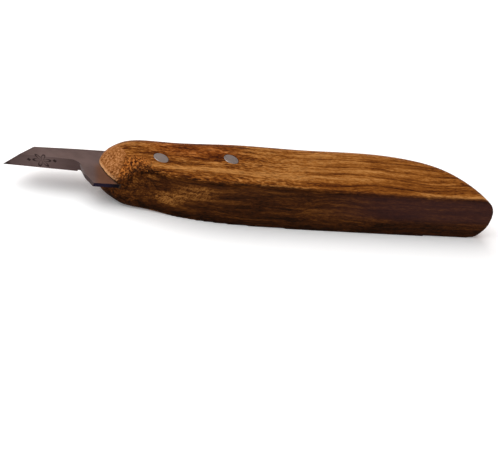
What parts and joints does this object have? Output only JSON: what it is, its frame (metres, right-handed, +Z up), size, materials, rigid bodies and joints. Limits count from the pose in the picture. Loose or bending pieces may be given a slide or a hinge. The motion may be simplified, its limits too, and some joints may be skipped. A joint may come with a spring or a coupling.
{
  "type": "chip carving knife",
  "caption": "Short clip-pointed, flat-ground carving blade let into a slim rounded wooden handle with flat cheeks and held by two flush steel pins.",
  "frame": {"origin": "bottom centre of the whole knife's box: on the flat lower cheek it lies on, halfway from tip to butt and halfway across", "axes": "+X along the knife from the blade's tip to the butt, -Y towards the cutting edge, +Z up through the handle's thickness"},
  "size_m": [0.1692, 0.0277, 0.0154],
  "materials": {
    "handle_wood": "oiled satin",
    "blade_steel": "dark satin",
    "pin_metal": "satin",
    "epoxy": "hard clear amber"
  },
  "bodies": {
    "root": {"handle": "handle_wood", "blade": "blade_steel", "epoxy_bed": "epoxy", "front_pin": "pin_metal", "rear_pin": "pin_metal"}
  },
  "joints": []
}
